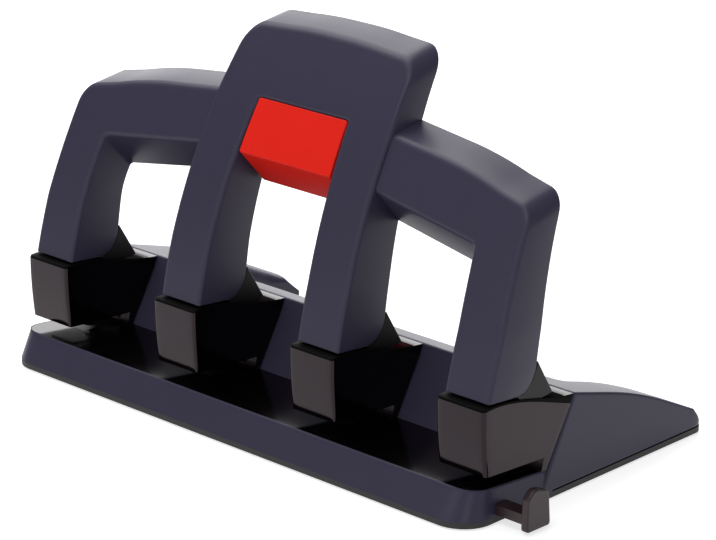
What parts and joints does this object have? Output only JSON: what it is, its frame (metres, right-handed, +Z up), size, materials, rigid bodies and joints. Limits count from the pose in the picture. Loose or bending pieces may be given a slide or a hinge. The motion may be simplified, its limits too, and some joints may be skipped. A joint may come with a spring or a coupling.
{
  "type": "four-hole desk punch",
  "caption": "Manual four-hole desk punch: an arched lever handle on four legs over a base with two rear arms, with black punch towers and a slide-out paper guide.",
  "frame": {"origin": "middle of the surface that the feet rest on, half way along the length and half way between the bottom front edge and the rear end of the arms", "axes": "+X along the length to the side where the paper guide slides out, +Y from the bevelled front towards the two rear arms, +Z up"},
  "size_m": [0.286, 0.156, 0.1624],
  "materials": {
    "satin_plastic": "satin",
    "gloss_black": "gloss",
    "zinc_steel": "satin",
    "matt_black": "matt",
    "black_steel": "satin",
    "foot_rubber": "matt",
    "screw_steel": "satin",
    "tray_plastic": "satin",
    "guide_plastic": "satin",
    "spring_steel": "bright",
    "dark_plastic": "satin",
    "red_plastic": "gloss",
    "hard_steel": "ground",
    "drum_plastic": "satin"
  },
  "bodies": {
    "base": {"base_shell": "satin_plastic", "table_panel": "gloss_black", "punch_rail": "zinc_steel", "bottom_band": "matt_black", "rubber_feet": "foot_rubber", "base_screws": "screw_steel", "frame_screws": "screw_steel", "guide_spring": "spring_steel", "pivot_clips": "spring_steel", "punch_frame_1": "black_steel", "punch_frame_2": "black_steel", "punch_frame_3": "black_steel", "punch_frame_4": "black_steel", "pivot_pin_1": "black_steel", "pivot_pin_2": "black_steel", "pivot_pin_3": "black_steel", "pivot_pin_4": "black_steel", "return_spring_1": "spring_steel", "return_spring_2": "spring_steel", "return_spring_3": "spring_steel", "return_spring_4": "spring_steel", "tower_cover_1": "gloss_black", "tower_cover_2": "gloss_black", "tower_cover_3": "gloss_black", "tower_cover_4": "gloss_black"},
    "handle": {"handle_shell": "satin_plastic", "handle_back": "dark_plastic", "lever_plate": "zinc_steel", "lever_screws": "screw_steel", "red_block": "red_plastic", "lever_root_1": "black_steel", "lever_root_2": "black_steel", "lever_root_3": "black_steel", "lever_root_4": "black_steel", "drum_cover_1": "drum_plastic", "drum_cover_2": "drum_plastic", "drum_cover_3": "drum_plastic", "drum_cover_4": "drum_plastic"},
    "pin_1": {"punch_pin_1": "hard_steel"},
    "pin_2": {"punch_pin_2": "hard_steel"},
    "pin_3": {"punch_pin_3": "hard_steel"},
    "pin_4": {"punch_pin_4": "hard_steel"},
    "paper_guide": {"guide_bar": "guide_plastic", "guide_stop": "guide_plastic"},
    "chip_tray": {"chip_tray": "tray_plastic"}
  },
  "joints": [
    {"name": "handle_press", "type": "hinge", "parent": "base", "child": "handle", "pos_m": [0, -0.052, 0.041], "axis": [-1, 0, 0], "range_deg": [0, 48], "stiffness_Nm_per_rad": 0.6, "springref_deg": -45.84},
    {"name": "pin_1_slide", "type": "slide", "parent": "base", "child": "pin_1", "axis": [0, 0, -1], "range_m": [0, 0.0076], "deforming": ["return_spring_1"]},
    {"name": "pin_2_slide", "type": "slide", "parent": "base", "child": "pin_2", "axis": [0, 0, -1], "range_m": [0, 0.0076], "deforming": ["return_spring_2"]},
    {"name": "pin_3_slide", "type": "slide", "parent": "base", "child": "pin_3", "axis": [0, 0, -1], "range_m": [0, 0.0076], "deforming": ["return_spring_3"]},
    {"name": "pin_4_slide", "type": "slide", "parent": "base", "child": "pin_4", "axis": [0, 0, -1], "range_m": [0, 0.0076], "deforming": ["return_spring_4"]},
    {"name": "guide_slide", "type": "slide", "parent": "base", "child": "paper_guide", "axis": [1, 0, 0], "range_m": [-0.012, 0.08]},
    {"name": "tray_hinge", "type": "hinge", "parent": "base", "child": "chip_tray", "pos_m": [0, -0.0096, 0.0021], "axis": [1, 0, 0], "range_deg": [0, 75]}
  ],
  "couplings": [
    {"joint": "pin_1_slide", "follows": "handle_press", "m_per_rad": 0.009},
    {"joint": "pin_2_slide", "follows": "handle_press", "m_per_rad": 0.009},
    {"joint": "pin_3_slide", "follows": "handle_press", "m_per_rad": 0.009},
    {"joint": "pin_4_slide", "follows": "handle_press", "m_per_rad": 0.009}
  ]
}
